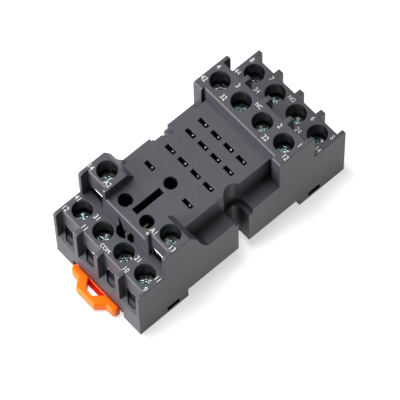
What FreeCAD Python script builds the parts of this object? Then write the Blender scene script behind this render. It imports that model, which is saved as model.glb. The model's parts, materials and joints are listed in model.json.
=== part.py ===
"""Relay socket for a 35 mm rail, with 14 screw terminals and a raised seat for a four-pole relay.

Millimetres. X runs along the rail, Y along the socket, and Z out from the rail. While the pieces
are made, Y is counted from the tips of the front ribs; place() then moves all of them so that
the origin is at the middle of the underside.
"""
import FreeCAD, Part
import math
import os

# Outer sizes of the housing
body_width = 30.0
low_deck_z = 19.2
high_deck_z = 28.8
plateau_z = 25.5
ledge_z = 18.2
ledge_width = 4.2
wing_width = 2.8
rib_tip_radius = 0.8
rim_bevel = 0.35

# Walls and ribs of the housing
side_wall = 1.35
end_wall = 1.3
rib = 1.25
rib_side_margin = 0.3
coil_inner_wall = 1.075
deck_front_wall = 0.9
seat_thickness = 1.3

# Steps of the housing along Y, each counted from the one before it
entry_recess = 2.0
front_row_inset = 3.7
coil_row_step = 8.1
coil_row_inset = 3.4
coil_rib_reach = 2.1
plateau_lead = 0.9
coil_crest_run = 2.4
coil_ramp_run = 5.4
coil_ramp_bulge = 0.3
coil_pin_gap = 1.3
common_pin_step = 6.4
open_pin_step = 6.25
closed_pin_step = 4.05
upper_face_gap = 5.15
upper_wing_lead = 0.85
upper_row_inset = 4.05
upper_deck_run = 3.8
upper_rib_reach = 2.2
rear_row_step = 10.8
rear_row_inset = 3.4

# Terminals
screw_well_radius = 2.56
well_depth = 5.9
entry_jamb = 0.5
window_play = 0.1
entry_ramp_drop = 1.0
entry_funnel_width = 1.9
entry_funnel_depth = 0.5
entry_funnel_reach = 0.6

# Terminal screws and clamp plates
screw_radius = 1.5
screw_length = 4.9
head_radius = 2.3
head_height = 2.0
head_below_deck = 4.9
drive_slot_width = 0.75
drive_slot_depth = 1.1
screw_turn_step = 35.0
clamp_length = 5.6
clamp_thickness = 0.8
clamp_play = 0.15
clamp_side_play = 0.2
wire_gap = 2.2
thread_clearance = 0.05
clamp_hole_clearance = 0.1

# Contact strips and their forks
plate_side_gap = 0.45
terminal_plate_length = 5.2
terminal_plate_thickness = 1.0
bar_width = 1.7
inner_bar_turn_gap = 2.4
outer_bar_turn_gap = 3.8
fork_thickness = 0.4
fork_width = 2.6
fork_half_spread = 0.95
fork_half_pinch = 0.36
fork_half_mouth = 0.8
fork_base_drop = 12.7
fork_straight_drop = 6.2
fork_pinch_drop = 3.7
fork_clearance = 0.35
strip_clearance = 0.25
module_tab_height = 3.4
module_tab_thickness = 0.5
module_tab_width = 1.8

# Relay seat: slot pattern, key slot and holes
pin_column_pitch = 4.4
pin_slot_width = 2.95
pin_slot_thickness = 1.15
key_slot_width = 1.8
key_slot_inset = 2.9
key_slot_length = 8.4
key_slot_depth = 6.0
hold_down_hole_shift = 0.6
hold_down_hole_radius = 1.69
hold_down_hole_depth = 8.0
module_hole_x = 3.76
module_hole_lead = 0.9
module_hole_radius = 1.8

# Catch pocket at the foot of the plateau's front wall
catch_x = -0.4
catch_radius = 2.0
catch_depth = 4.6
catch_rise = 4.2
catch_niche = 1.1
catch_niche_width = 0.8
catch_niche_foot = 0.4
catch_rib_x = 1.25
catch_rib_width = 0.75
catch_rib_rise = 1.8
catch_slot_x = 2.4
catch_slot_width = 1.4
catch_lead = 1.0

# Side notches for two panel screws
panel_notch_inset = 2.8
panel_notch_shift = 0.15
panel_notch_radius = 1.65
panel_head_radius = 2.8
panel_shoulder_z = 16.4

# Rail side
rail_width = 35.0
rail_play = 0.5
rail_shift = 0.3
rail_recess_depth = 3.5
rail_lip = 1.0
rail_lip_play = 0.2
hook_reach = 1.25
hook_width = 17.0
hook_bevel = 0.9
hook_tip = 0.6
hook_relief_depth = 0.7
hook_relief_play = 0.3

# Base cover
cover_web = 1.4
cover_clearance = 0.1
post_play = 0.15
post_side_gap = 0.4
post_inset = 0.3
snap_length = 3.4
snap_height = 1.5
snap_lead_height = 0.7
snap_reach = 1.1
snap_play = 0.2
snap_z = 1.1
snap_rail_gap = 4.7
foot_pocket_wall = 1.4
foot_pocket_depth = 2.3

# Release clip
clip_reach = 4.15
clip_width = 16.0
clip_thickness = 2.4
clip_z = 0.5
clip_play = 0.2
clip_flange = 0.8
clip_flange_thickness = 1.0
clip_flange_gap = 1.2
clip_loop_z = 0.8
clip_loop_thickness = 2.8
clip_loop_bevel = 0.35
clip_lobe_x = 6.75
clip_lobe_y = -0.8
clip_lobe_radius = 1.2
clip_shoulder_x = 5.1
clip_neck_y = 0.4
clip_bar_half = 3.2
clip_hole_front_half = 1.1
clip_hole_rear_half = 3.2
clip_hole_rear_y = -0.4
clip_loop_width = 1.35
clip_window_width = 12.4
clip_window_gap = 2.6
clip_nose_wall = 3.2
stop_post_width = 2.6
stop_post_thickness = 1.4
spring_thickness = 0.35
spring_height = 1.7
spring_arm_x = 5.2
spring_pad = 1.4
spring_bow_out = 0.25
spring_bow_back = 0.35

# How far a piece reaches into another before the two are joined or cut, and what counts as one place
overlap = 1.0
same_place = 1e-6

# Places across the socket
half_width = body_width / 2
plateau_half = half_width - ledge_width
upper_wing_inner_x = half_width - wing_width
panel_notch_x = half_width - panel_notch_inset
terminal_pitch = body_width / 4 - rib_side_margin / 2
outer_column = 1.5 * terminal_pitch
inner_column = 0.5 * terminal_pitch
outer_pin = 1.5 * pin_column_pitch
inner_pin = 0.5 * pin_column_pitch
pocket_width = terminal_pitch - rib
coil_block_inner_x = outer_column - pocket_width / 2 - coil_inner_wall
entry_width = pocket_width - 2 * entry_jamb
chamber_width = pocket_width - 2 * cover_clearance
clamp_width = chamber_width - 2 * clamp_side_play
clamp_tongue_width = entry_width - 2 * clamp_side_play
terminal_plate_width = chamber_width - 2 * plate_side_gap
post_wall = chamber_width / 2 - screw_radius - post_play - post_side_gap
cover_half = half_width - side_wall - cover_clearance

# Places along the socket, counted from the tips of the front ribs
front_row_y = entry_recess + front_row_inset
coil_row_y = front_row_y + coil_row_step
coil_deck_y = coil_row_y - coil_row_inset
coil_block_y = coil_deck_y - coil_rib_reach
plateau_front_y = coil_deck_y - plateau_lead
coil_crest_y = coil_row_y + coil_crest_run
coil_foot_y = coil_crest_y + coil_ramp_run
coil_pin_y = coil_foot_y + coil_pin_gap
common_pin_y = coil_pin_y + common_pin_step
open_pin_y = common_pin_y + open_pin_step
closed_pin_y = open_pin_y + closed_pin_step
upper_face_y = closed_pin_y + upper_face_gap
upper_wing_y = upper_face_y - upper_wing_lead
upper_row_y = upper_face_y + upper_row_inset
upper_deck_end_y = upper_row_y + upper_deck_run
upper_rib_end_y = upper_deck_end_y + upper_rib_reach
rear_row_y = upper_row_y + rear_row_step
rear_deck_end_y = rear_row_y + rear_row_inset
body_length = rear_deck_end_y + entry_recess
middle_y = (body_length - clip_reach) / 2
rail_centre_y = body_length / 2 + rail_shift
recess_front_y = rail_centre_y - (rail_width + rail_play) / 2
recess_rear_y = rail_centre_y + (rail_width + rail_play) / 2
panel_notch_y = rail_centre_y - panel_notch_shift
key_slot_front_y = plateau_front_y + key_slot_inset
hold_down_hole_y = coil_pin_y + hold_down_hole_shift
module_hole_y = coil_row_y - module_hole_lead
catch_front_y = plateau_front_y - catch_lead
clip_nose_y = recess_front_y + hook_reach
clip_window_front_y = end_wall + clip_window_gap
clip_window_rear_y = recess_front_y - clip_nose_wall
stop_post_front_y = clip_window_front_y + clip_play

# Heights
cover_top_z = rail_recess_depth + cover_web
clamp_top_drop = head_below_deck + head_height
plate_top_drop = clamp_top_drop + clamp_thickness + wire_gap
fork_base_z = plateau_z - fork_base_drop
fork_straight_z = plateau_z - fork_straight_drop
fork_pinch_z = plateau_z - fork_pinch_drop
fork_top_z = plateau_z - seat_thickness - fork_clearance
hook_top_z = rail_recess_depth - rail_lip - rail_lip_play
clip_flange_low_z = clip_z + (clip_thickness - clip_flange_thickness) / 2
clip_flange_high_z = clip_flange_low_z + clip_flange_thickness


def point(x, y, z):
    return FreeCAD.Vector(x, y, z)


def block(x0, x1, y0, y1, z0, z1):
    """Box between two corners."""
    return Part.makeBox(x1 - x0, y1 - y0, z1 - z0, point(x0, y0, z0))


def bar_block(x, width, y0, y1, z0, z1):
    """Box of a given width, centred on x."""
    return block(x - width / 2, x + width / 2, y0, y1, z0, z1)


def post(radius, x, y, z0, z1):
    """Upright cylinder."""
    return Part.makeCylinder(radius, z1 - z0, point(x, y, z0))


def joined(shapes):
    """All shapes as one, with the seams between flush faces taken out."""
    return shapes[0].multiFuse(shapes[1:]).removeSplitter()


def closed_face(points):
    return Part.Face(Part.makePolygon(list(points) + [points[0]]))


def side_prism(outline, x0, x1):
    """Outline given as (y, z), carried from x0 to x1."""
    face = closed_face([point(x0, y, z) for y, z in outline])
    return face.extrude(point(x1 - x0, 0, 0))


def plan_prism(outline, z0, z1):
    """Outline given as (x, y), carried from z0 to z1."""
    face = closed_face([point(x, y, z0) for x, y in outline])
    return face.extrude(point(0, 0, z1 - z0))


def ribbon(path, width):
    """Closed outline of a strip of even width along an open path, with mitred corners."""
    left = []
    right = []
    for i, (a, b) in enumerate(path):
        before = path[max(i - 1, 0)]
        after = path[min(i + 1, len(path) - 1)]
        heading_in = math.atan2(b - before[1], a - before[0]) if i > 0 else None
        heading_out = math.atan2(after[1] - b, after[0] - a) if i < len(path) - 1 else None
        if heading_in is None:
            heading_in = heading_out
        if heading_out is None:
            heading_out = heading_in
        turn = math.remainder(heading_out - heading_in, 2 * math.pi)
        heading = heading_in + turn / 2
        reach = width / 2 / math.cos(turn / 2)
        left.append((a - reach * math.sin(heading), b + reach * math.cos(heading)))
        right.append((a + reach * math.sin(heading), b - reach * math.cos(heading)))
    return left + right[::-1]


def mirrored(shape):
    """The same shape on the other side of the middle plane."""
    return shape.mirror(point(0, 0, 0), point(1, 0, 0))


def place(shape):
    """Moves a finished piece so that the origin is at the middle of the underside."""
    moved = shape.copy()
    moved.translate(point(0, -middle_y, 0))
    return moved


class Terminal:
    """One screw terminal: where its screw stands, and the relay pin that its strip serves."""

    def __init__(self, number, x, row, pin_x, pin_y):
        self.number = number
        self.x = x
        self.y, self.deck, self.opening, self.face_y = row
        self.pin_x = pin_x
        self.pin_y = pin_y
        self.side = math.copysign(1.0, x)
        self.inner_y = self.face_y - self.opening * deck_front_wall
        self.clamp_far_y = self.y - self.opening * clamp_length / 2
        self.plate_far_y = self.y - self.opening * terminal_plate_length / 2
        self.near_y = self.inner_y - self.opening * clamp_play
        self.clamp_top = self.deck - clamp_top_drop
        self.plate_top = self.deck - plate_top_drop
        self.plate_bottom = self.plate_top - terminal_plate_thickness
        self.well_floor = self.deck - well_depth

    def is_low(self):
        return self.deck == low_deck_z


def terminal_list():
    """All 14 terminals. A row is its Y, its deck, the way its wires come in and its face."""
    columns = [-outer_column, -inner_column, inner_column, outer_column]
    pins = [-outer_pin, -inner_pin, inner_pin, outer_pin]
    upper_row = (upper_row_y, high_deck_z, 1, upper_deck_end_y)
    rear_row = (rear_row_y, low_deck_z, 1, rear_deck_end_y)
    front_row = (front_row_y, low_deck_z, -1, entry_recess)
    coil_row = (coil_row_y, high_deck_z, -1, coil_deck_y)
    found = []
    rows_of_four = ((4, upper_row, closed_pin_y), (8, rear_row, open_pin_y), (12, front_row, common_pin_y))
    for first, row, pin_y in rows_of_four:
        for step, (x, pin_x) in enumerate(zip(columns, pins)):
            found.append(Terminal(first - step, x, row, pin_x, pin_y))
    for number, sign in ((14, -1), (13, 1)):
        found.append(Terminal(number, sign * outer_column, coil_row, sign * outer_pin, coil_pin_y))
    return sorted(found, key=lambda terminal: terminal.number)


def bar_path(terminal):
    """Middle line of the strip's bar in plan, from the terminal plate to the fork."""
    toward_pin = -terminal.opening
    shift = abs(terminal.x - terminal.pin_x)
    if terminal.is_low():
        gap = outer_bar_turn_gap if abs(terminal.x) > outer_pin else inner_bar_turn_gap
        turn_y = terminal.pin_y - toward_pin * (shift + gap)
        return [
            (terminal.x, terminal.y),
            (terminal.x, turn_y),
            (terminal.pin_x, turn_y + toward_pin * shift),
            (terminal.pin_x, terminal.pin_y),
        ]
    inner_x = terminal.x - terminal.side * (terminal_plate_width - bar_width) / 2
    shift = abs(inner_x - terminal.pin_x)
    return [
        (inner_x, terminal.y),
        (inner_x, terminal.plate_far_y + toward_pin * bar_width / 4),
        (terminal.pin_x, terminal.plate_far_y + toward_pin * (bar_width / 4 + shift)),
        (terminal.pin_x, terminal.pin_y - toward_pin * fork_half_spread),
    ]


def fork_outline(pin_y):
    """Section of the two spring leaves and the bend that joins them, as (y, z)."""
    leaf = [
        (fork_half_spread, fork_base_z),
        (fork_half_spread, fork_straight_z),
        (fork_half_pinch, fork_pinch_z),
        (fork_half_mouth, fork_top_z),
    ]
    path = [(pin_y - y, z) for y, z in leaf[::-1]] + [(pin_y + y, z) for y, z in leaf]
    return ribbon(path, fork_thickness)


def contact_strip(terminal):
    """Threaded terminal plate, bar and fork, bent from one strip."""
    low, high = terminal.plate_bottom, terminal.plate_top
    y0, y1 = sorted((terminal.near_y, terminal.plate_far_y))
    plate = bar_block(terminal.x, terminal_plate_width, y0, y1, low, high)
    bar = plan_prism(ribbon(bar_path(terminal), bar_width), low, high)
    fork_left = terminal.pin_x - fork_width / 2
    fork = side_prism(fork_outline(terminal.pin_y), fork_left, fork_left + fork_width)
    pieces = [plate, bar, fork]
    if terminal.is_low():
        riser_half = terminal_plate_thickness / 2
        pieces.append(bar_block(terminal.pin_x, bar_width, terminal.pin_y - riser_half,
                                terminal.pin_y + riser_half, low, fork_base_z))
    if terminal.y == coil_row_y:
        tab_x = terminal.side * (module_hole_x - module_hole_radius / 2)
        tongue = sorted((tab_x, terminal.x))
        tab = sorted((tab_x, tab_x + terminal.side * module_tab_thickness))
        tab_y = module_hole_y - module_tab_width / 2
        pieces.append(block(tongue[0], tongue[1], tab_y, tab_y + module_tab_width, low, high))
        pieces.append(block(tab[0], tab[1], tab_y, tab_y + module_tab_width, low, high + module_tab_height))
    strip = joined(pieces)
    hole = post(screw_radius + thread_clearance, terminal.x, terminal.y, low - overlap, high + overlap)
    return strip.cut(hole)


def terminal_screw(terminal):
    """Cheese-head screw with a slot and a cross recess, standing open."""
    head_low = terminal.clamp_top
    head_high = head_low + head_height
    shank = post(screw_radius, 0, 0, head_low - screw_length, head_low + overlap / 2)
    body = shank.fuse(post(head_radius, 0, 0, head_low, head_high)).removeSplitter()
    slot = block(-head_radius, head_radius, -drive_slot_width / 2, drive_slot_width / 2,
                 head_high - drive_slot_depth, head_high + overlap)
    body = body.cut(slot)
    body.rotate(point(0, 0, 0), point(0, 0, 1), screw_turn_step * terminal.number)
    body.translate(point(terminal.x, terminal.y, 0))
    return body


def clamp_plate(terminal):
    """Clamp washer: its tongue shows in the wire entry, and the chamber's walls keep it square."""
    high = terminal.clamp_top
    low = high - clamp_thickness
    y0, y1 = sorted((terminal.near_y, terminal.clamp_far_y))
    pieces = [bar_block(terminal.x, clamp_width, y0, y1, low, high)]
    t0, t1 = sorted((terminal.y, terminal.face_y - terminal.opening * clamp_play))
    pieces.append(bar_block(terminal.x, clamp_tongue_width, t0, t1, low, high))
    hole = post(screw_radius + clamp_hole_clearance, terminal.x, terminal.y, low - overlap, high + overlap)
    return joined(pieces).cut(hole)


def coil_ramp_block():
    """Raised block of one coil terminal, on the +X side, with its swept rear."""
    crest = point(coil_block_inner_x, coil_crest_y, high_deck_z)
    foot = point(coil_block_inner_x, coil_foot_y, ledge_z)
    middle = (crest + foot) * 0.5
    upper = Part.Arc(crest, (crest + middle) * 0.5 + point(0, coil_ramp_bulge, coil_ramp_bulge / 2), middle)
    lower = Part.Arc(middle, (middle + foot) * 0.5 - point(0, coil_ramp_bulge, coil_ramp_bulge / 2), foot)
    corners = [
        foot,
        point(coil_block_inner_x, coil_foot_y, ledge_z - overlap),
        point(coil_block_inner_x, coil_deck_y, ledge_z - overlap),
        point(coil_block_inner_x, coil_deck_y, high_deck_z),
        crest,
    ]
    outline = Part.Wire([upper.toShape(), lower.toShape()] + Part.makePolygon(corners).Edges)
    rear = Part.Face(outline).extrude(point(half_width - coil_block_inner_x, 0, 0))
    root_y = coil_deck_y + overlap
    outer_rib = block(outer_column + pocket_width / 2, half_width, coil_block_y, root_y, 0, high_deck_z)
    inner_rib = block(coil_block_inner_x, outer_column - pocket_width / 2, plateau_front_y, root_y,
                      ledge_z - overlap, high_deck_z)
    return joined([rear, outer_rib, inner_rib])


def comb(y_wall, y_tip, z0, z1):
    """Five ribs between and beside four wire entries, from a deck's edge to the rib tips."""
    low_y, high_y = sorted((y_wall, y_tip))
    ribs = [bar_block(n * terminal_pitch, rib, low_y, high_y, z0, z1) for n in (-1, 0, 1)]
    outer = outer_column + pocket_width / 2
    ribs.append(block(outer, half_width, low_y, high_y, z0, z1))
    ribs.append(block(-half_width, -outer, low_y, high_y, z0, z1))
    return ribs


def entry_ramp(y_wall, y_tip):
    """Sill of a low row's wire entries, sloping out from the wall to the tips of the ribs."""
    sill_z = low_deck_z - plate_top_drop
    inside = y_wall + math.copysign(1.0, y_wall - y_tip)
    tip_z = sill_z - entry_ramp_drop
    outline = [(inside, 0), (inside, sill_z), (y_wall, sill_z), (y_tip, tip_z), (y_tip, 0)]
    return side_prism(outline, -half_width, half_width)


def entry_funnels(y_wall, y_tip):
    """Tapered hollows in the sill that lead each wire into its clamp."""
    sill_z = low_deck_z - plate_top_drop
    floor_z = sill_z - entry_ramp_drop * entry_funnel_reach - entry_funnel_depth
    end_y = y_wall + entry_funnel_reach * (y_tip - y_wall)
    back_y = y_wall + math.copysign(overlap / 2, y_wall - y_tip)
    hollows = []
    for x in (-outer_column, -inner_column, inner_column, outer_column):
        outline = [
            (x - entry_width / 2, back_y),
            (x - entry_width / 2, y_wall),
            (x - entry_funnel_width / 2, end_y),
            (x + entry_funnel_width / 2, end_y),
            (x + entry_width / 2, y_wall),
            (x + entry_width / 2, back_y),
        ]
        hollows.append(plan_prism(outline, floor_z, sill_z + overlap))
    return hollows


def outer_body():
    """Outside of the housing, before anything is cut from it."""
    base = block(-half_width, half_width, entry_recess, rear_deck_end_y, 0, ledge_z)
    front = block(-half_width, half_width, entry_recess, coil_crest_y, ledge_z - overlap, low_deck_z)
    rear = block(-half_width, half_width, upper_face_y, rear_deck_end_y, ledge_z - overlap, low_deck_z)
    plateau = block(-plateau_half, plateau_half, coil_deck_y, upper_face_y + overlap,
                    ledge_z - overlap, plateau_z)
    brow_half = outer_column - pocket_width / 2
    brow = block(-brow_half, brow_half, plateau_front_y, coil_deck_y + overlap,
                 ledge_z - overlap, plateau_z)
    upper = block(-half_width, half_width, upper_face_y, upper_deck_end_y, ledge_z - overlap, high_deck_z)
    wing = block(upper_wing_inner_x, half_width, upper_wing_y, upper_deck_end_y,
                 ledge_z - overlap, high_deck_z)
    coil = coil_ramp_block()
    pieces = [base, front, rear, plateau, brow, upper, coil, mirrored(coil), wing, mirrored(wing)]
    pieces += comb(entry_recess, 0, 0, low_deck_z)
    pieces += comb(rear_deck_end_y, body_length, 0, low_deck_z)
    pieces += comb(upper_deck_end_y, upper_rib_end_y, ledge_z - overlap, high_deck_z)
    pieces.append(entry_ramp(entry_recess, 0))
    pieces.append(entry_ramp(rear_deck_end_y, body_length))
    return joined(pieces)


def tip_edges(shape, y, z):
    """Edges that run along X at a given y and height."""
    found = []
    for edge in shape.Edges:
        box = edge.BoundBox
        spans = (box.YLength, box.ZLength, box.YMin - y, box.ZMin - z)
        if max(abs(span) for span in spans) < same_place:
            found.append(edge)
    return found


def rounded_body():
    """Outer body with the tips of its ribs rounded off at the top."""
    body = outer_body()
    tips = tip_edges(body, 0, low_deck_z) + tip_edges(body, body_length, low_deck_z)
    tips += tip_edges(body, coil_block_y, high_deck_z) + tip_edges(body, upper_rib_end_y, high_deck_z)
    body = body.makeFillet(min(rib_tip_radius, rib), tips)
    rims = tip_edges(body, upper_wing_y, high_deck_z) + tip_edges(body, plateau_front_y, plateau_z)
    rims += tip_edges(body, entry_recess, low_deck_z) + tip_edges(body, coil_deck_y, high_deck_z)
    rims += tip_edges(body, upper_face_y, high_deck_z)
    return body.makeChamfer(min(rim_bevel, deck_front_wall / 2), rims)


def terminal_cuts(terminal):
    """Screw well, chamber and wire window of one terminal."""
    well = post(screw_well_radius, terminal.x, terminal.y, terminal.well_floor - overlap,
                terminal.deck + overlap)
    y0, y1 = sorted((terminal.inner_y, terminal.clamp_far_y - terminal.opening * strip_clearance))
    chamber = bar_block(terminal.x, chamber_width, y0, y1, cover_top_z - overlap, terminal.well_floor)
    w0, w1 = sorted((terminal.face_y, terminal.inner_y - terminal.opening))
    sill_z = terminal.plate_top - window_play
    window = bar_block(terminal.x, entry_width, w0, w1, sill_z, terminal.well_floor)
    return [well, chamber, window]


def strip_cuts(terminal):
    """Channel under the bar and cell round the fork, both open towards the base cover."""
    bar_top = terminal.plate_top + strip_clearance
    bar_room = ribbon(bar_path(terminal), bar_width + 2 * strip_clearance)
    channel = plan_prism(bar_room, cover_top_z - overlap, bar_top)
    half_x = fork_width / 2 + strip_clearance
    half_y = fork_half_spread + fork_thickness / 2 + strip_clearance
    cell = bar_block(terminal.pin_x, 2 * half_x, terminal.pin_y - half_y, terminal.pin_y + half_y,
                     cover_top_z - overlap, plateau_z - seat_thickness)
    half_slot = pin_slot_thickness / 2
    slot = bar_block(terminal.pin_x, pin_slot_width, terminal.pin_y - half_slot, terminal.pin_y + half_slot,
                     fork_pinch_z, plateau_z + overlap)
    cuts = [channel, cell, slot]
    if terminal.y == coil_row_y:
        tab_x = terminal.side * (module_hole_x - module_hole_radius / 2 - strip_clearance)
        x0, x1 = sorted((tab_x, terminal.x))
        y0 = module_hole_y - module_tab_width / 2 - strip_clearance
        y1 = y0 + module_tab_width + 2 * strip_clearance
        cuts.append(block(x0, x1, y0, y1, cover_top_z - overlap, bar_top))
        cuts.append(post(module_hole_radius, terminal.side * module_hole_x, module_hole_y,
                         terminal.plate_top, plateau_z + overlap))
    return cuts


def seat_cuts():
    """Key slot and hold-down hole in the relay seat."""
    key = bar_block(0, key_slot_width, key_slot_front_y, key_slot_front_y + key_slot_length,
                    plateau_z - key_slot_depth, plateau_z + overlap)
    hole = post(hold_down_hole_radius, 0, hold_down_hole_y, plateau_z - hold_down_hole_depth,
                plateau_z + overlap)
    return [key, hole]


def catch_cuts():
    """Half-round pocket, slanted niche and narrow slot at the foot of the plateau's front wall."""
    floor_z = low_deck_z - catch_depth
    pocket = post(catch_radius, catch_x, plateau_front_y, floor_z, low_deck_z + overlap)
    front_half = block(catch_x - catch_radius, catch_x + catch_radius, plateau_front_y - catch_radius,
                       plateau_front_y + catch_niche, floor_z, low_deck_z + overlap)
    pocket = pocket.common(front_half)
    left = catch_x - catch_radius
    niche_face = closed_face([
        point(left, plateau_front_y - overlap, low_deck_z - overlap),
        point(left, plateau_front_y - overlap, low_deck_z + catch_rise),
        point(left + catch_niche_width, plateau_front_y - overlap, low_deck_z + catch_rise),
        point(catch_rib_x - catch_rib_width / 2, plateau_front_y - overlap, low_deck_z + catch_niche_foot),
        point(catch_rib_x - catch_rib_width / 2, plateau_front_y - overlap, low_deck_z - overlap),
    ])
    niche = niche_face.extrude(point(0, catch_niche + overlap, 0))
    slot = bar_block(catch_slot_x, catch_slot_width, catch_front_y, plateau_front_y + catch_niche, floor_z,
                     low_deck_z + catch_rise)
    return [pocket, niche, slot]


def catch_rib():
    """Small upright rib between the half-round pocket and the slot."""
    return bar_block(catch_rib_x, catch_rib_width, catch_front_y, plateau_front_y + catch_niche,
                     low_deck_z - catch_depth, low_deck_z + catch_rib_rise)


def panel_notch():
    """Open notch on the +X side for a panel screw, with a seat for its head."""
    shank = post(panel_notch_radius, panel_notch_x, panel_notch_y, -overlap, plateau_z + overlap)
    shank_way = block(panel_notch_x, half_width + overlap, panel_notch_y - panel_notch_radius,
                      panel_notch_y + panel_notch_radius, -overlap, plateau_z + overlap)
    head = post(panel_head_radius, panel_notch_x, panel_notch_y, panel_shoulder_z, plateau_z + overlap)
    head_way = block(panel_notch_x, half_width + overlap, panel_notch_y - panel_head_radius,
                     panel_notch_y + panel_head_radius, panel_shoulder_z, plateau_z + overlap)
    return joined([shank, shank_way, head, head_way])


def snap_places():
    """Middle of each snap lug along Y, one pair in each foot."""
    return [recess_front_y - snap_rail_gap, recess_rear_y + snap_rail_gap]


def underside_cuts():
    """Seat of the base cover, rail recess, clip opening and windows for the snap lugs."""
    inside = half_width - side_wall
    cuts = [block(-inside, inside, end_wall, body_length - end_wall, -overlap, cover_top_z)]
    cuts.append(block(-half_width - overlap, half_width + overlap, recess_front_y, recess_rear_y,
                      -overlap, rail_recess_depth))
    opening = clip_width / 2 + clip_flange + clip_play
    cuts.append(block(-opening, opening, -overlap, end_wall + overlap, -overlap, rail_recess_depth))
    for y in snap_places():
        half = snap_length / 2 + snap_play
        cuts.append(block(-half_width - overlap, half_width + overlap, y - half, y + half,
                          snap_z - snap_play, snap_z + snap_height + snap_play))
    return cuts


def housing(terminals):
    """The stepped moulding that holds everything."""
    body = rounded_body()
    cuts = seat_cuts() + catch_cuts() + underside_cuts()
    cuts += entry_funnels(entry_recess, 0) + entry_funnels(rear_deck_end_y, body_length)
    notch = panel_notch()
    cuts += [notch, mirrored(notch)]
    for terminal in terminals:
        cuts += terminal_cuts(terminal) + strip_cuts(terminal)
    body = body.cut(cuts[0].multiFuse(cuts[1:]))
    return body.fuse(catch_rib()).removeSplitter()


def clip_channel():
    """Space in the base cover that the release clip slides in, with a groove for each flange."""
    half = clip_width / 2 + clip_play
    end_y = recess_front_y + 1
    main = block(-half, half, end_wall - overlap, end_y, -overlap, rail_recess_depth)
    groove_half = half + clip_flange
    groove = block(-groove_half, groove_half, end_wall - overlap, end_y,
                   clip_flange_low_z - clip_play, clip_flange_high_z + clip_play)
    return main.fuse(groove)


def snap_lug(y):
    """Wedge on the cover's +X side that springs into a window of the housing."""
    outline = [
        (cover_half - overlap / 2, snap_z),
        (cover_half + snap_reach, snap_z + snap_lead_height),
        (cover_half + snap_reach, snap_z + snap_height),
        (cover_half - overlap / 2, snap_z + snap_height),
    ]
    face = closed_face([point(x, y - snap_length / 2, z) for x, z in outline])
    return face.extrude(point(0, snap_length, 0))


def hook(tip_y, root_y, width):
    """Nose that grips one edge of the rail, bevelled so that it rides over it."""
    back = math.copysign(1.0, root_y - tip_y)
    outline = [
        (tip_y, hook_top_z),
        (tip_y, hook_top_z - hook_tip),
        (tip_y + back * hook_bevel, clip_z),
        (root_y, clip_z),
        (root_y, hook_top_z),
    ]
    return side_prism(outline, -width / 2, width / 2)


def terminal_posts(terminal):
    """Two walls that carry one terminal plate from below and leave room for its screw and a passing bar."""
    walls = []
    y0, y1 = sorted((terminal.near_y - terminal.opening * post_inset,
                     terminal.plate_far_y + terminal.opening * post_inset))
    for side in (-1, 1):
        x = terminal.x + side * (screw_radius + post_play + post_wall / 2)
        walls.append(bar_block(x, post_wall, y0, y1, cover_top_z - overlap / 2, terminal.plate_bottom))
    return walls


def base_cover(terminals):
    """Cover that closes the housing from the rail side, with both feet, the fixed hook and the posts."""
    front_y = end_wall + cover_clearance
    rear_y = body_length - end_wall - cover_clearance
    web = block(-cover_half, cover_half, front_y, rear_y, rail_recess_depth, cover_top_z)
    front_foot = block(-cover_half, cover_half, front_y, recess_front_y, 0, rail_recess_depth)
    rear_foot = block(-cover_half, cover_half, recess_rear_y, rear_y, 0, rail_recess_depth)
    fixed_hook = hook(recess_rear_y - hook_reach, recess_rear_y + overlap, hook_width)
    pieces = [web, front_foot.cut(clip_channel()), rear_foot, fixed_hook]
    for y in snap_places():
        lug = snap_lug(y)
        pieces += [lug, mirrored(lug)]
    for terminal in terminals:
        pieces += terminal_posts(terminal)
    pieces.append(bar_block(0, stop_post_width, stop_post_front_y, stop_post_front_y + stop_post_thickness,
                            clip_z, rail_recess_depth + overlap / 2))
    cover = joined(pieces)
    cuts = foot_pockets() + hook_reliefs()
    notch = panel_notch()
    cuts += [notch, mirrored(notch)]
    return cover.cut(cuts[0].multiFuse(cuts[1:])).removeSplitter()


def hook_reliefs():
    """Shallow hollows in the rail seat over the fixed hook and over the clip's nose."""
    depth_z = rail_recess_depth + hook_relief_depth
    reach = hook_reach + hook_relief_play
    rear_half = hook_width / 2 + hook_relief_play
    front_half = clip_width / 2 + clip_play + hook_relief_play
    rear = block(-rear_half, rear_half, recess_rear_y - reach, recess_rear_y, hook_top_z, depth_z)
    front = block(-front_half, front_half, recess_front_y, recess_front_y + reach, hook_top_z, depth_z)
    return [rear, front]


def foot_pockets():
    """Hollows in the rear foot, open towards the panel, that keep its wall even."""
    y0 = recess_rear_y + 2 * foot_pocket_wall
    y1 = body_length - end_wall - cover_clearance - foot_pocket_wall
    width = (2 * cover_half - 5 * foot_pocket_wall) / 4
    pockets = []
    for n in range(4):
        x = -cover_half + foot_pocket_wall + n * (width + foot_pocket_wall)
        pockets.append(block(x, x + width, y0, y1, -overlap, foot_pocket_depth))
    return pockets


def clip_half_outline():
    """Outline of the finger loop's +X half in plan, with its round lobe."""
    shoulder_y = clip_lobe_y - clip_lobe_radius
    lobe_edge = clip_lobe_x + clip_lobe_radius
    diagonal = clip_lobe_radius * math.sqrt(0.5)
    on_lobe = point(clip_lobe_x + diagonal, clip_lobe_y - diagonal, 0)
    lobe = Part.Arc(point(clip_lobe_x, shoulder_y, 0), on_lobe, point(lobe_edge, clip_lobe_y, 0)).toShape()
    loop = Part.makePolygon([
        point(0, -clip_reach, 0),
        point(clip_bar_half, -clip_reach, 0),
        point(clip_shoulder_x, shoulder_y, 0),
        point(clip_lobe_x, shoulder_y, 0),
    ])
    rear = Part.makePolygon([
        point(lobe_edge, clip_lobe_y, 0),
        point(lobe_edge, -clip_play, 0),
        point(0, -clip_play, 0),
        point(0, -clip_reach, 0),
    ])
    return Part.Wire(loop.Edges + [lobe] + rear.Edges)


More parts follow.
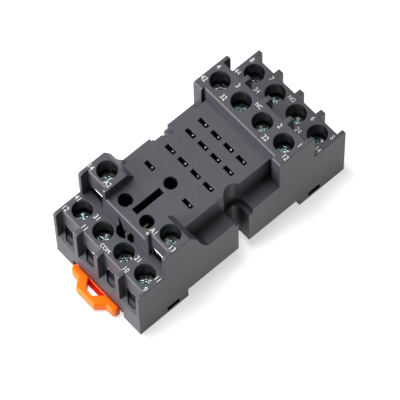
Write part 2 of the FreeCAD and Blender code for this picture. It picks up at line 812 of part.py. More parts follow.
def clip_loop():
    """Finger loop in front of the housing, thicker than the sliding plate and bevelled on top."""
    high = clip_loop_z + clip_loop_thickness
    right = Part.Face(clip_half_outline()).extrude(point(0, 0, clip_loop_thickness))
    right.translate(point(0, 0, clip_loop_z))
    loop = joined([right, mirrored(right)])
    rims = [edge for edge in loop.Edges
            if edge.BoundBox.ZMin > high - same_place and edge.BoundBox.YMin < -clip_play - same_place
            and edge.BoundBox.YMax < -clip_play - same_place]
    loop = loop.makeChamfer(clip_loop_bevel, rims)
    hole = plan_prism([
        (-clip_hole_front_half, -clip_reach + clip_loop_width),
        (clip_hole_front_half, -clip_reach + clip_loop_width),
        (clip_hole_rear_half, clip_hole_rear_y),
        (-clip_hole_rear_half, clip_hole_rear_y),
    ], clip_loop_z - overlap, high + overlap)
    return loop.cut(hole)


def rail_release_clip():
    """Sliding clip: finger loop outside, flanged plate in the cover, bevelled nose under the rail."""
    low, high = clip_z, clip_z + clip_thickness
    half = clip_width / 2
    plate = block(-half, half, clip_neck_y, recess_front_y, low, high)
    neck = bar_block(0, 2 * clip_lobe_x, clip_hole_rear_y, clip_neck_y + overlap, clip_loop_z, high)
    flange = block(-half - clip_flange, half + clip_flange, end_wall + clip_flange_gap,
                   recess_front_y - overlap, clip_flange_low_z, clip_flange_high_z)
    nose = hook(clip_nose_y, recess_front_y - overlap, clip_width)
    body = joined([clip_loop(), plate, neck, flange, nose])
    window = bar_block(0, clip_window_width, clip_window_front_y, clip_window_rear_y,
                       low - overlap, high + overlap)
    return body.cut(window)


def clip_spring():
    """Bowed leaf spring: its ends press on the clip, its middle on the stop post."""
    crown_y = stop_post_front_y + stop_post_thickness
    top_y = clip_window_rear_y - spring_thickness
    pad = stop_post_width / 2
    knee = spring_arm_x - spring_pad / 2
    tip = spring_arm_x + spring_pad / 2
    bow_x = (pad + spring_arm_x) / 2 + spring_bow_out
    bow_y = (crown_y + top_y) / 2 - spring_bow_back
    z = clip_z + (clip_thickness - spring_height) / 2

    def arch(offset):
        """Edges of one face of the leaf, from its -X tip to its +X tip."""
        top, bow, crown = top_y + offset, bow_y + offset, crown_y + offset
        return [
            Part.makeLine(point(-tip, top, z), point(-knee, top, z)),
            Part.Arc(point(-knee, top, z), point(-bow_x, bow, z), point(-pad, crown, z)).toShape(),
            Part.makeLine(point(-pad, crown, z), point(pad, crown, z)),
            Part.Arc(point(pad, crown, z), point(bow_x, bow, z), point(knee, top, z)).toShape(),
            Part.makeLine(point(knee, top, z), point(tip, top, z)),
        ]

    ends = [
        Part.makeLine(point(side * tip, top_y, z), point(side * tip, top_y + spring_thickness, z))
        for side in (-1, 1)
    ]
    edges = arch(0) + arch(spring_thickness) + ends
    wire = Part.Wire(Part.sortEdges(edges)[0])
    return Part.Face(wire).extrude(point(0, 0, spring_height))


def build():
    """Every piece of the socket by name."""
    terminals = terminal_list()
    pieces = {
        "housing": housing(terminals),
        "base_cover": base_cover(terminals),
        "rail_release_clip": rail_release_clip(),
        "clip_spring": clip_spring(),
    }
    for terminal in terminals:
        pieces["terminal_screw_%02d" % terminal.number] = terminal_screw(terminal)
        pieces["clamp_plate_%02d" % terminal.number] = clamp_plate(terminal)
        pieces["contact_strip_%02d" % terminal.number] = contact_strip(terminal)
    return pieces


os.makedirs("parts", exist_ok=True)
for name, shape in build().items():
    piece = place(shape)
    if not piece.isValid() or len(piece.Solids) != 1:
        raise ValueError("%s is not one valid solid" % name)
    piece.Solids[0].exportStep("parts/%s.step" % name)
    print("%-22s %8.1f mm3" % (name, piece.Volume))
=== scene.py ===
import json
import math

import bmesh
import bpy
from mathutils import Matrix, Vector


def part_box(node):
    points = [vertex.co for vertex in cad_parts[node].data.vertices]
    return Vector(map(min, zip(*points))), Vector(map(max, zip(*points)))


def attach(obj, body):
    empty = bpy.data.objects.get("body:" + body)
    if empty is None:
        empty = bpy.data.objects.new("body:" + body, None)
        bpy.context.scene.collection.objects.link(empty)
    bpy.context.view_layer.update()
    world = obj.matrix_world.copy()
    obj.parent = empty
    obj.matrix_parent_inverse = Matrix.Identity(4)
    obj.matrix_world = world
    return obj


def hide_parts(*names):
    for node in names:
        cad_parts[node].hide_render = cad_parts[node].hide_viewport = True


bl_info = {
    "name": "Relay Socket Look",
    "version": (1, 0, 0),
    "blender": (4, 5, 0),
    "location": "3D View > Sidebar > Relay Socket",
    "description": "Finishes, screws, printed numbers and studio for a rail-mounted relay socket",
    "category": "Object",
}

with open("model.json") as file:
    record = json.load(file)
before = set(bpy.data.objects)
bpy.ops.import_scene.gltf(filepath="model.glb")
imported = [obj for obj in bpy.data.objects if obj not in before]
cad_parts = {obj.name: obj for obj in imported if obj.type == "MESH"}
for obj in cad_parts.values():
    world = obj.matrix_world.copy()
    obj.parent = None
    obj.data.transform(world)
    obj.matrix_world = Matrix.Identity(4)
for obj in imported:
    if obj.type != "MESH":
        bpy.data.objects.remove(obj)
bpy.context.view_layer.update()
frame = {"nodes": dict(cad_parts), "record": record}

MM = 0.001
WHITE = (1.0, 1.0, 1.0, 1.0)

SCREW_NUMBERS = range(1, 15)
REAR_NUMBERS = range(5, 9)
FRONT_NUMBERS = range(9, 13)
COIL_NUMBERS = (13, 14)

# Places on the solids that the added forms and the print are set by
WALL_BEFORE_HOLE = 14.0 * MM     # from the hold-down hole forward to the plateau's front wall
DECK_BELOW_SEAT = 6.3 * MM       # from the relay seat down to the front deck
DECK_ABOVE_HEAD = 4.9 * MM       # from a screw head up to its deck
CLAMP_GAP = 2.2 * MM             # from a clamp plate down to its terminal plate
LOOP_HOLE_REAR = 3.75 * MM       # from the clip's front end back to the rear edge of the loop's hole
LEAF_BELOW_SEAT = 1.65 * MM      # from the relay seat down to the tops of the fork leaves
FORKS_BEFORE_HOLE = 0.6 * MM     # from the hold-down hole forward to the first row of forks
FORK_PITCH = 4.4 * MM            # between neighbours in a row of forks
FORK_ROW_STEPS = (6.4 * MM, 6.25 * MM, 4.05 * MM)    # from each row of forks to the one behind it
TERMINAL_PITCH = 7.35 * MM       # between neighbours in a row of terminals

# Added forms, in millimetres
# Catch webs: outlines as (x, height above the front deck), and where they begin and end behind the wall
CATCH_WEB_OUTLINES = (
    ((-2.3, 4.3), (0.0, -2.9), (0.9, -2.9), (0.9, 0.3), (-1.65, 4.3)),
    ((1.6, 1.9), (2.6, 1.9), (2.6, -2.9), (3.2, -2.9), (3.2, 4.3), (1.6, 4.3)),
)
CATCH_WEB_DEPTHS = (0.03, 1.1)
# Clip web, a sheet that stands in for the shade low in the loop's hole as painted shade: outline as (x, y
# from the hole's rear edge), and its heights above the clip's underside
CLIP_SHADE_WEB_OUTLINE = ((-3.4, 0.2), (3.4, 0.2), (2.9, -0.6), (-2.9, -0.6))
CLIP_SHADE_WEB_HEIGHTS = (0.35, 0.65)
# Groove floors: numbers of a row, its outward side along y, and from a screw's axis to the outer wall
ENTRY_ROWS = ((FRONT_NUMBERS, -1, 3.7), (REAR_NUMBERS, 1, 3.4))
# Sections of a groove's floor: place outside the wall, half width, and top against the terminal plate
ENTRY_SECTIONS = ((-0.4, 2.55, -0.5), (0.0, 2.55, -0.5), (1.15, 0.95, -0.82))
ENTRY_BOTTOM = -1.2
# Fork tips: section as (distance from the fork's middle, height against the leaf's top)
FORK_TIP_SECTION = ((0.95, -0.30), (0.60, -0.45), (0.38, -0.20), (0.40, -0.08), (0.85, 0.14), (0.97, 0.04))
FORK_TIP_WIDTH = 0.52
FORK_TIP_ROUNDING = 0.03

# Printed rows of four: number of the leftmost terminal, contact names, y of the numbers and of the names
# from the screws' axes, and the word in the middle with its y, in millimetres
MARK_ROWS = (
    (4, ("42", "32", "22", "12"), 2.15, -2.45, "NC", 2.1),
    (8, ("44", "34", "24", "14"), 1.95, -2.75, "NO", 1.85),
    (12, ("41", "31", "21", "11"), -2.7, 1.15, "COM", -2.65),
)
# x of a row's marks from their screws' axes, from left to right
MARK_COLUMNS = (-3.0, -3.55, 3.55, 3.0)
# Marks of the coil's terminals: text, terminal, and x and y from the screw's axis
COIL_MARKS = (
    ("14", 14, -3.2, -2.3), ("A2", 14, 2.7, -2.3), ("-", 14, 3.65, -3.95),
    ("13", 13, 3.0, -2.3), ("A1", 13, -3.0, -2.5), ("+", 13, -3.65, -3.95),
)
MIDDLE_WORDS = tuple(row[4] for row in MARK_ROWS)
WORD_SIZE = 0.8          # middle words against the other marks
LETTER_WIDTH = 0.86      # letters against the width that the font gives them
CAPITAL_SHARE = 0.73     # height of a capital in a font of size 1

# Soft square lights: name, place and side length, in metres; StageSettings has the power of each
LAMPS = (
    ("left", (-0.83, -0.04, 0.36), 0.40),
    ("front", (-0.31, -0.80, 0.27), 0.52),
    ("high", (-0.15, -0.60, 0.62), 0.40),
    ("overhead", (-0.24, -0.16, 0.80), 0.60),
    ("back", (-0.30, 0.08, 0.80), 0.50),
    ("board", (-0.12, -0.10, 0.85), 0.30),
)
BOARD_HALF_SIDE = 3.0
BOARD_DROP = 0.02 * MM
SENSOR_WIDTH = 36.0


def linear(hex_colour):
    """Linear RGBA of an sRGB hex value."""
    channels = [int(hex_colour[i:i + 2], 16) / 255 for i in (1, 3, 5)]
    return tuple(c / 12.92 if c <= 0.04045 else ((c + 0.055) / 1.055) ** 2.4 for c in channels) + (1.0,)


def node_name(stem, number):
    return "%s_%02d" % (stem, number)


def axis_of(node):
    """Upright axis of a CAD node, as (x, y), with its lowest and highest z."""
    low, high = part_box(node)
    return (low.x + high.x) / 2, (low.y + high.y) / 2, low.z, high.z


def mount_place(name):
    """Place of one of the record's mounts."""
    return next(Vector(mount["pos_m"]) for mount in frame["record"]["mounts"] if mount["name"] == name)


# Settings

class HousingSettings(bpy.types.PropertyGroup):
    colour: bpy.props.FloatVectorProperty(
        name="Moulding colour", description="Dark grey of the housing and the base cover",
        subtype="COLOR", size=4, min=0, max=1, default=linear("#43434a"))
    roughness: bpy.props.FloatProperty(
        name="Roughness", description="Roughness of the moulded faces",
        subtype="FACTOR", min=0, max=1, default=0.44)
    grain: bpy.props.FloatProperty(
        name="Grain", description="Size of the eroded grain on the moulded faces",
        subtype="DISTANCE", unit="LENGTH", default=0.32 * MM)
    edge: bpy.props.FloatProperty(
        name="Edge radius", description="Radius that the moulded edges appear to have",
        subtype="DISTANCE", unit="LENGTH", default=0.28 * MM)
    # Painted shade: ambient occlusion darkens the walls of openings up to this width, in colour and in
    # sheen
    core_width: bpy.props.FloatProperty(
        name="Painted shade width", description="Widest opening whose walls get painted shade, darker and duller",
        subtype="DISTANCE", unit="LENGTH", default=6.0 * MM)
    core_tone: bpy.props.FloatProperty(
        name="Painted shade tone", description="Share of the colour that the walls deep in such an opening keep",
        subtype="FACTOR", min=0, max=1, default=0.2)


class ClipSettings(bpy.types.PropertyGroup):
    colour: bpy.props.FloatVectorProperty(
        name="Clip colour", description="Orange of the release clip",
        subtype="COLOR", size=4, min=0, max=1, default=linear("#ff7c00"))
    # Painted shade and glow: a redder orange is mixed in where other faces enclose the clip's plastic
    depth_colour: bpy.props.FloatVectorProperty(
        name="Painted glow colour", description="Redder orange painted on enclosed parts as shade and glow",
        subtype="COLOR", size=4, min=0, max=1, default=linear("#ff2200"))
    glow_depth: bpy.props.FloatProperty(
        name="Painted glow reach", description="How near other faces turn the plastic redder",
        subtype="DISTANCE", unit="LENGTH", default=3.0 * MM)
    edge: bpy.props.FloatProperty(
        name="Edge radius", description="Radius that the clip's edges appear to have",
        subtype="DISTANCE", unit="LENGTH", default=0.3 * MM)


class MetalSettings(bpy.types.PropertyGroup):
    zinc: bpy.props.FloatVectorProperty(
        name="Zinc", description="Zinc plating on screws and clamp plates",
        subtype="COLOR", size=4, min=0, max=1, default=linear("#f6f8f8"))
    passivation: bpy.props.FloatVectorProperty(
        name="Passivation", description="Blue-green cast of the passivated zinc",
        subtype="COLOR", size=4, min=0, max=1, default=linear("#88a8a9"))
    dull_zinc: bpy.props.FloatVectorProperty(
        name="Dull zinc", description="Zinc that has gone dull on the clamp plates",
        subtype="COLOR", size=4, min=0, max=1, default=linear("#4d5354"))
    tin: bpy.props.FloatVectorProperty(
        name="Tin", description="Tin plating on the contact strips",
        subtype="COLOR", size=4, min=0, max=1, default=linear("#e2e1dc"))
    brass: bpy.props.FloatVectorProperty(
        name="Brass", description="Brass that shows through thin tin",
        subtype="COLOR", size=4, min=0, max=1, default=linear("#4f4b3f"))
    dark_spring: bpy.props.FloatVectorProperty(
        name="Dark spring steel", description="Darker patches of the spring's steel",
        subtype="COLOR", size=4, min=0, max=1, default=linear("#8d9195"))
    light_spring: bpy.props.FloatVectorProperty(
        name="Light spring steel", description="Lighter patches of the spring's steel",
        subtype="COLOR", size=4, min=0, max=1, default=linear("#b4b8bb"))
    head_radius: bpy.props.FloatProperty(
        name="Head radius", description="Radius of a screw head",
        subtype="DISTANCE", unit="LENGTH", default=2.3 * MM)
    head_height: bpy.props.FloatProperty(
        name="Head height", description="Height of a screw head",
        subtype="DISTANCE", unit="LENGTH", default=2.0 * MM)
    thread_radius: bpy.props.FloatProperty(
        name="Thread radius", description="Outer radius of the thread",
        subtype="DISTANCE", unit="LENGTH", default=1.5 * MM)
    thread_pitch: bpy.props.FloatProperty(
        name="Thread pitch", description="Rise of the thread in one turn",
        subtype="DISTANCE", unit="LENGTH", default=0.5 * MM)
    slot_width: bpy.props.FloatProperty(
        name="Slot width", description="Width of the slot in a screw head",
        subtype="DISTANCE", unit="LENGTH", default=0.75 * MM)
    slot_depth: bpy.props.FloatProperty(
        name="Slot depth", description="Depth of the slot in a screw head",
        subtype="DISTANCE", unit="LENGTH", default=0.825 * MM)
    cross_length: bpy.props.FloatProperty(
        name="Cross length", description="Length of each bar of the cross recess at the top of the head",
        subtype="DISTANCE", unit="LENGTH", default=2.9 * MM)
    cross_width: bpy.props.FloatProperty(
        name="Cross width", description="Width of each bar of the cross recess at the top of the head",
        subtype="DISTANCE", unit="LENGTH", default=0.7875 * MM)
    cross_depth: bpy.props.FloatProperty(
        name="Cross depth", description="Depth of the cross recess",
        subtype="DISTANCE", unit="LENGTH", default=1.485 * MM)
    cross_taper: bpy.props.FloatProperty(
        name="Cross taper", description="How far the ends of the cross recess draw in towards its bottom",
        subtype="DISTANCE", unit="LENGTH", default=0.45 * MM)
    turn_step: bpy.props.FloatProperty(
        name="Turn step", description="How far each screw is turned past the one before it",
        subtype="ANGLE", default=math.radians(35))


class PrintSettings(bpy.types.PropertyGroup):
    colour: bpy.props.FloatVectorProperty(
        name="Ink colour", description="White of the printed numbers",
        subtype="COLOR", size=4, min=0, max=1, default=linear("#f4f4f2"))
    cap_height: bpy.props.FloatProperty(
        name="Letter height", description="Height of a printed capital",
        subtype="DISTANCE", unit="LENGTH", default=1.4 * MM)
    film: bpy.props.FloatProperty(
        name="Ink film", description="Thickness of the ink on the plastic",
        subtype="DISTANCE", unit="LENGTH", default=0.02 * MM)


class StageSettings(bpy.types.PropertyGroup):
    floor_colour: bpy.props.FloatVectorProperty(
        name="Floor colour", description="Pale board under the socket",
        subtype="COLOR", size=4, min=0, max=1, default=linear("#e6e6e6"))
    floor_glow: bpy.props.FloatProperty(
        name="Floor whiteness", description="How much the floor is lifted to white where it is seen",
        min=0, max=1, default=0.62)
    azimuth: bpy.props.FloatProperty(
        name="Azimuth", description="How far the camera stands round from the front",
        subtype="ANGLE", default=math.radians(49.92))
    elevation: bpy.props.FloatProperty(
        name="Elevation", description="How high the camera looks down from",
        subtype="ANGLE", default=math.radians(63.33))
    roll: bpy.props.FloatProperty(
        name="Roll", description="Tilt of the picture",
        subtype="ANGLE", default=math.radians(-1.90))
    distance: bpy.props.FloatProperty(
        name="Distance", description="From the camera to the point it looks at",
        subtype="DISTANCE", unit="LENGTH", default=722.7 * MM)
    target: bpy.props.FloatVectorProperty(
        name="Target", description="Point in the middle of the picture",
        subtype="TRANSLATION", unit="LENGTH", size=3, default=(1.84 * MM, 0.175 * MM, 9.98 * MM))
    focal_length: bpy.props.FloatProperty(
        name="Focal length", description="Focal length on a 36 mm sensor, in millimetres",
        default=275.8)
    left_power: bpy.props.FloatProperty(
        name="Left light", description="Power of the low soft light on the left",
        unit="POWER", default=5.5)
    front_power: bpy.props.FloatProperty(
        name="Front light", description="Power of the low soft light in front",
        unit="POWER", default=11.0)
    high_power: bpy.props.FloatProperty(
        name="High light", description="Power of the soft light high in front",
        unit="POWER", default=0.8)
    overhead_power: bpy.props.FloatProperty(
        name="Overhead light", description="Power of the large soft light above",
        unit="POWER", default=2.6)
    back_power: bpy.props.FloatProperty(
        name="Back light", description="Power of the high light at the back, which gives the decks a sheen",
        unit="POWER", default=1.6)
    board_power: bpy.props.FloatProperty(
        name="Board light", description="Power of the light above that falls on the board alone",
        unit="POWER", default=6.0)
    world_level: bpy.props.FloatProperty(
        name="Room light", description="Strength of the even light from all round",
        min=0, default=0.01)


# Materials

def add_node(tree, kind, place, inputs=None, **attributes):
    """New shader node at a place; each input is given a value, or an output to link to it."""
    made = tree.nodes.new(kind)
    made.location = place
    for name, value in attributes.items():
        setattr(made, name, value)
    for name, value in (inputs or {}).items():
        if isinstance(value, bpy.types.NodeSocket):
            tree.links.new(value, made.inputs[name])
        else:
            made.inputs[name].default_value = value
    return made


def new_material(name):
    material = bpy.data.materials.new(name)
    material.use_nodes = True
    material.node_tree.nodes.clear()
    return material, material.node_tree


def finish_material(tree, shader):
    """Links a shader to the material's output."""
    add_node(tree, "ShaderNodeOutputMaterial", (700, 0), {"Surface": shader.outputs[0]})


def finish_principled(tree, inputs):
    """Ends a material with one principled shader."""
    finish_material(tree, add_node(tree, "ShaderNodeBsdfPrincipled", (350, 0), inputs))


def shade(colour, factor):
    """Colour made lighter or darker by a factor."""
    return tuple(channel * factor for channel in colour[:3]) + (1.0,)


def object_noise(tree, place, size, detail):
    """Noise with features of a given size in metres, fixed to the object."""
    where = add_node(tree, "ShaderNodeTexCoord", (place[0] - 400, place[1]))
    return add_node(tree, "ShaderNodeTexNoise", place,
                    {"Vector": where.outputs["Object"], "Scale": 1 / size, "Detail": detail})


def ramp_between(tree, place, factor, low, high, low_at, high_at):
    """Colour that goes from low to high as a factor goes from low_at to high_at."""
    ramp = add_node(tree, "ShaderNodeValToRGB", place, {"Fac": factor})
    first, last = ramp.color_ramp.elements
    first.position, first.color = low_at, low
    last.position, last.color = high_at, high
    return ramp.outputs["Color"]


def multiplied(tree, place, first, second):
    """Product of two colours."""
    product = add_node(tree, "ShaderNodeMix", place, {"Factor": 1.0, "A": first, "B": second},
                       data_type="RGBA", blend_type="MULTIPLY")
    return product.outputs["Result"]


def openness(tree, place, distance):
    """1 where nothing of the object is near, and less where other faces enclose a place."""
    inside = add_node(tree, "ShaderNodeAmbientOcclusion", place, {"Distance": distance}, samples=8)
    return inside.outputs["AO"]


def grained_normal(tree, grain, strength, depth, edge_radius):
    """Normal that follows a grain, on edges that look rounded."""
    edge = add_node(tree, "ShaderNodeBevel", (-250, -500), {"Radius": edge_radius}, samples=6)
    bump = add_node(tree, "ShaderNodeBump", (50, -300),
                    {"Height": grain.outputs["Fac"], "Normal": edge.outputs["Normal"],
                     "Strength": strength, "Distance": depth})
    return bump.outputs["Normal"]


def rough_between(tree, grain, smoothest, roughest):
    """Roughness that varies with a grain."""
    rough = add_node(tree, "ShaderNodeMapRange", (-250, -100),
                     {"Value": grain.outputs["Fac"], "To Min": smoothest, "To Max": roughest})
    return rough.outputs["Result"]


def seen_directly(tree, place):
    """1 for camera, glossy and transmission rays, and 0 for the rays that light other things."""
    x, y = place
    path = add_node(tree, "ShaderNodeLightPath", place)
    first = add_node(tree, "ShaderNodeMath", (x + 200, y),
                     {0: path.outputs["Is Camera Ray"], 1: path.outputs["Is Glossy Ray"]},
                     operation="MAXIMUM")
    both = add_node(tree, "ShaderNodeMath", (x + 400, y),
                    {0: first.outputs[0], 1: path.outputs["Is Transmission Ray"]}, operation="MAXIMUM")
    return both.outputs[0]


def moulded_polyamide():
    """Glass-filled polyamide, moulded in an eroded tool: fine matt grain, with painted shade deep in its
    openings, darker and with less sheen.
    """
    settings = bpy.context.scene.socket_housing
    material, tree = new_material("glass filled polyamide, dark grey")
    grain = object_noise(tree, (-500, -300), settings.grain, 3.0)
    cloud = object_noise(tree, (-500, 200), 9 * MM, 2.0)
    tone = ramp_between(tree, (-250, 250), cloud.outputs["Fac"],
                        shade(settings.colour, 0.94), shade(settings.colour, 1.06), 0.3, 0.7)
    speck = ramp_between(tree, (-250, 0), grain.outputs["Fac"],
                         shade(WHITE, 0.86), shade(WHITE, 1.12), 0.32, 0.68)
    # Painted shade: ambient occlusion darkens the colour deep in narrow openings
    painted_shade = ramp_between(tree, (-250, 600), openness(tree, (-450, 600), settings.core_width),
                        shade(WHITE, settings.core_tone), WHITE, 0.25, 0.48)
    # The same painted shade lowers the sheen there
    sheen = add_node(tree, "ShaderNodeMapRange", (50, -50), {"Value": painted_shade, "To Max": 0.3})
    finish_principled(tree, {
        "Base Color": multiplied(tree, (50, 200), multiplied(tree, (-100, 200), tone, speck), painted_shade),
        "Normal": grained_normal(tree, grain, 0.35, 0.05 * MM, settings.edge),
        "Specular IOR Level": sheen.outputs["Result"],
        "Roughness": settings.roughness,
        "IOR": 1.53,
    })
    return material


def moulded_acetal():
    """Orange acetal, moulded: satin, and light goes a little way in; enclosed parts are painted redder, as
    painted shade and glow.
    """
    settings = bpy.context.scene.socket_clip
    material, tree = new_material("acetal, orange")
    cloud = object_noise(tree, (-500, 200), 5 * MM, 2.0)
    tone = ramp_between(tree, (-450, 200), cloud.outputs["Fac"],
                        shade(settings.colour, 0.92), settings.colour, 0.3, 0.7)
    # Painted shade and glow: ambient occlusion mixes the redder colour into enclosed parts
    depth = add_node(tree, "ShaderNodeMapRange", (-250, 500),
                     {"Value": openness(tree, (-450, 500), settings.glow_depth),
                      "From Min": 0.35, "From Max": 0.75})
    colour = add_node(tree, "ShaderNodeMix", (50, 300),
                      {"Factor": depth.outputs["Result"], "A": settings.depth_colour, "B": tone},
                      data_type="RGBA")
    grain = object_noise(tree, (-500, -300), 0.4 * MM, 2.0)
    finish_principled(tree, {
        "Base Color": colour.outputs["Result"],
        "Normal": grained_normal(tree, grain, 0.12, 0.03 * MM, settings.edge),
        "Roughness": 0.38,
        "IOR": 1.48,
        "Specular IOR Level": 0.15,
        "Subsurface Weight": 0.25,
        "Subsurface Radius": (1.0, 0.35, 0.08),
        "Subsurface Scale": 0.8 * MM,
    })
    return material


def passivated_zinc(name, film, patch_size, dull_and_shade_share):
    """Zinc-plated steel: bright metal that a thin film tints or dulls in a share of its patches."""
    settings = bpy.context.scene.socket_metal
    material, tree = new_material(name)
    patches = object_noise(tree, (-500, 200), patch_size, 3.0)
    grain = object_noise(tree, (-500, -300), 0.12 * MM, 3.0)
    finish_principled(tree, {
        "Base Color": ramp_between(tree, (-250, 200), patches.outputs["Fac"], film, settings.zinc,
                                   dull_and_shade_share - 0.08, dull_and_shade_share + 0.08),
        "Roughness": rough_between(tree, grain, 0.1, 0.24),
        "Normal": grained_normal(tree, grain, 0.25, 0.02 * MM, 0.22 * MM),
        "Metallic": 1.0,
    })
    return material


def tinned_brass(name, bare_and_shade_share):
    """Brass strip, rolled and tin plated: pale satin metal, with bare brass in a share of its patches."""
    settings = bpy.context.scene.socket_metal
    material, tree = new_material(name)
    patches = object_noise(tree, (-500, 200), 2.0 * MM, 3.0)
    rolled = object_noise(tree, (-500, -300), 0.2 * MM, 4.0)
    finish_principled(tree, {
        "Base Color": ramp_between(tree, (-250, 200), patches.outputs["Fac"], settings.brass, settings.tin,
                                   bare_and_shade_share - 0.14, bare_and_shade_share + 0.14),
        "Roughness": rough_between(tree, rolled, 0.2, 0.42),
        "Metallic": 1.0,
    })
    return material


def spring_steel():
    """Spring steel strip, rolled: cool grey metal, lighter and darker in small patches."""
    settings = bpy.context.scene.socket_metal
    material, tree = new_material("spring steel, rolled")
    patches = object_noise(tree, (-500, 0), 0.3 * MM, 4.0)
    finish_principled(tree, {
        "Base Color": ramp_between(tree, (-250, 200), patches.outputs["Fac"],
                                   settings.dark_spring, settings.light_spring, 0.3, 0.7),
        "Metallic": 1.0,
        "Roughness": 0.3,
    })
    return material


def printing_ink():
    """White two-part ink, pad printed: matt, with a faint unevenness of the film."""
    settings = bpy.context.scene.socket_print
    material, tree = new_material("pad printing ink, white")
    film = object_noise(tree, (-500, 0), 0.5 * MM, 2.0)
    finish_principled(tree, {
        "Base Color": ramp_between(tree, (-250, 100), film.outputs["Fac"],
                                   shade(settings.colour, 0.8), settings.colour, 0.3, 0.6),
        "Roughness": 0.6,
    })
    return material


def studio_board():
    """Matt white board: what the camera and reflections see of it is lifted to white, with its shadow."""
    settings = bpy.context.scene.socket_stage
    material, tree = new_material("studio board, matt white")
    fibre = object_noise(tree, (-700, 0), 1.5 * MM, 2.0)
    tone = ramp_between(tree, (-450, 100), fibre.outputs["Fac"], shade(settings.floor_colour, 0.99),
                        settings.floor_colour, 0.3, 0.7)
    board = add_node(tree, "ShaderNodeBsdfPrincipled", (-100, 100),
                     {"Base Color": tone, "Roughness": 0.9, "Specular IOR Level": 0.1})
    lift = add_node(tree, "ShaderNodeMath", (-250, -300),
                    {0: seen_directly(tree, (-700, -300)), 1: settings.floor_glow}, operation="MULTIPLY")
    glow = add_node(tree, "ShaderNodeEmission", (-50, -300), {"Strength": lift.outputs[0]})
    both = add_node(tree, "ShaderNodeAddShader", (300, 0), {0: board.outputs[0], 1: glow.outputs[0]})
    finish_material(tree, both)
    return material


# Mesh building

def new_object(name, data):
    """Object with its data, linked to the scene."""
    made = bpy.data.objects.new(name, data)
    bpy.context.scene.collection.objects.link(made)
    return made


def set_material(piece, material):
    """Gives an object one material in place of those it has."""
    piece.data.materials.clear()
    piece.data.materials.append(material)


def mesh_object(name, mesh, material):
    """Object from a finished mesh, linked to the scene, with its material."""
    made = new_object(name, mesh)
    set_material(made, material)
    return made


def bmesh_to_mesh(name, build):
    mesh = bpy.data.meshes.new(name)
    build.normal_update()
    build.to_mesh(mesh)
    build.free()
    return mesh


def evaluated_mesh(piece):
    """Mesh of an object with its modifiers applied, or of a text object."""
    bpy.context.view_layer.update()
    return bpy.data.meshes.new_from_object(piece.evaluated_get(bpy.context.evaluated_depsgraph_get()))


def smooth_by_angle(mesh, degrees):
    """Shades a mesh smooth, with sharp edges where faces meet at more than an angle."""
    for face in mesh.polygons:
        face.use_smooth = True
    mesh.set_sharp_from_angle(angle=math.radians(degrees))


def joined_mesh(name, parts):
    """One mesh from several, each with its own placing matrix."""
    build = bmesh.new()
    for mesh, matrix in parts:
        piece = mesh.copy()
        piece.transform(matrix)
        build.from_mesh(piece)
        bpy.data.meshes.remove(piece)
    return bmesh_to_mesh(name, build)


def on_circle(radius, turn, z):
    """Point on an upright circle, at a share of a full turn."""
    return radius * math.cos(2 * math.pi * turn), radius * math.sin(2 * math.pi * turn), z


def bridge(build, lower, upper):
    """Faces between two closed loops with as many corners each."""
    for i in range(len(lower)):
        j = (i + 1) % len(lower)
        build.faces.new((lower[i], lower[j], upper[j], upper[i]))


def solids_mesh(name, solids, rounding=0.0):
    """Mesh of closed solids, each of which runs through a row of outlines with as many corners each."""
    build = bmesh.new()
    for outlines in solids:
        loops = [[build.verts.new(corner) for corner in outline] for outline in outlines]
        build.faces.new(loops[0][::-1])
        build.faces.new(loops[-1])
        for lower, upper in zip(loops, loops[1:]):
            bridge(build, lower, upper)
    bmesh.ops.recalc_face_normals(build, faces=build.faces)
    if rounding:
        bmesh.ops.bevel(build, geom=build.edges, offset=rounding, segments=2, affect="EDGES", profile=0.5)
    return bmesh_to_mesh(name, build)


def turned_mesh(name, profile, segments):
    """Closed turned body from a profile of (radius, z) that starts and ends on the axis."""
    build = bmesh.new()
    rings = []
    for radius, z in profile:
        turns = [i / segments for i in range(segments)] if radius else [0.0]
        rings.append([build.verts.new(on_circle(radius, turn, z)) for turn in turns])
    for lower, upper in zip(rings, rings[1:]):
        if len(lower) == len(upper):
            bridge(build, lower, upper)
            continue
        for i in range(segments):
            j = (i + 1) % segments
            if len(lower) == 1:
                build.faces.new((lower[0], upper[j], upper[i]))
            else:
                build.faces.new((lower[i], lower[j], upper[0]))
    return bmesh_to_mesh(name, build)


# Screws

def cutter_mesh(length, width, taper, bottom, top):
    """Bar that cuts one slot in a screw head, narrower at its bottom by a taper."""
    side_share = 0.25
    outlines = []
    for z, shrink in ((bottom, taper), (top, 0.0)):
        half_x, half_y = length / 2 - shrink, width / 2 - shrink * side_share
        outlines.append([(x * half_x, y * half_y, z) for x, y in ((-1, -1), (1, -1), (1, 1), (-1, 1))])
    return solids_mesh("drive cutter", [outlines])


def cut_with(target, cutter_data, turn=0.0):
    """Cuts one mesh out of an object and leaves no modifier on it."""
    cutter = new_object("drive cutter", cutter_data)
    cutter.rotation_euler.z = turn
    modifier = target.modifiers.new("recess", "BOOLEAN")
    modifier.object = cutter
    modifier.operation = "DIFFERENCE"
    modifier.solver = "EXACT"
    cut = evaluated_mesh(target)
    target.modifiers.clear()
    target.data = cut
    bpy.data.objects.remove(cutter)


